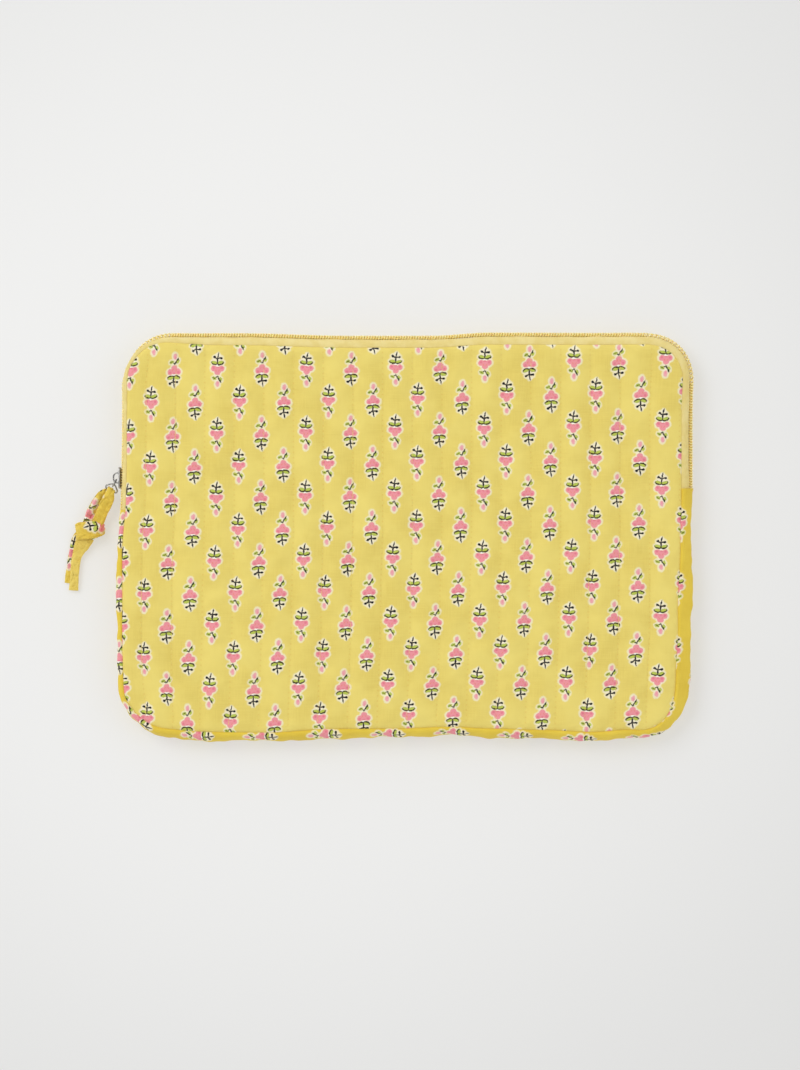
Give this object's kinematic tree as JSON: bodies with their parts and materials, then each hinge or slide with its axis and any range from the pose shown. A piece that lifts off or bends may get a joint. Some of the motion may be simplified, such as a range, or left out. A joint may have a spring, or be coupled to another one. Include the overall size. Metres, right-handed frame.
{
  "type": "laptop sleeve",
  "caption": "Quilted, padded fabric laptop sleeve with a zip round three sides, a metal slider and a knotted fabric pull.",
  "frame": {"origin": "centre of the back panel's outer face, which the sleeve lies on", "axes": "+X to the right of the front panel, +Y towards the zipped top edge, +Z out of the front panel"},
  "size_m": [0.3784, 0.2442, 0.02],
  "materials": {
    "printed_cotton": "matte woven cotton with a small block print",
    "gusset_cotton": "matte woven cotton with a small block print",
    "quilting_thread": "matte cotton thread",
    "batting": "matte fleece",
    "lining": "matte plain cotton",
    "binding": "matte bias tape",
    "zip_tape": "matte woven polyester",
    "zip_coil": "satin nylon",
    "slider_metal": "polished nickel"
  },
  "bodies": {
    "sleeve": {"back_cover": "printed_cotton", "back_batting": "batting", "back_lining": "lining", "back_quilting_thread": "quilting_thread", "back_seam_binding": "binding", "front_cover": "printed_cotton", "front_batting": "batting", "front_lining": "lining", "front_quilting_thread": "quilting_thread", "front_seam_binding": "binding", "gusset_cover": "gusset_cotton", "gusset_batting": "batting", "gusset_lining": "lining", "zip_tape_back": "zip_tape", "zip_tape_front_ends": "zip_tape", "zip_coil_back": "zip_coil", "zip_coil_front_ends": "zip_coil"},
    "front_flap": {"flap_cover": "printed_cotton", "flap_batting": "batting", "flap_lining": "lining", "flap_quilting_thread": "quilting_thread", "flap_seam_binding": "binding", "zip_tape_flap": "zip_tape", "zip_coil_flap": "zip_coil"},
    "slider": {"slider_body": "slider_metal"},
    "link": {"pull_link": "slider_metal"},
    "ring": {"pull_ring": "slider_metal"},
    "strap": {"pull_strap": "printed_cotton"}
  },
  "joints": [
    {"name": "mouth_fold", "type": "hinge", "parent": "sleeve", "child": "front_flap", "pos_m": [0, 0.046, 0.02], "axis": [1, 0, 0], "range_deg": [0, 70]},
    {"name": "slider_slide", "type": "slide", "parent": "sleeve", "child": "slider", "axis": [0, 1, 0], "range_m": [0, 0.05]},
    {"name": "link_swing", "type": "hinge", "parent": "slider", "child": "link", "pos_m": [-0.1752, 0.035, 0.01], "axis": [0, 0, -1], "range_deg": [-3.5, 85]},
    {"name": "ring_tilt", "type": "hinge", "parent": "link", "child": "ring", "pos_m": [-0.17691, 0.03189, 0.01], "axis": [-0.8771, 0.4802, 0], "range_deg": [0, 30]},
    {"name": "strap_lift", "type": "hinge", "parent": "ring", "child": "strap", "pos_m": [-0.17873, 0.02855, 0.00822], "axis": [-0.8771, 0.4802, 0], "range_deg": [0, 40]}
  ]
}
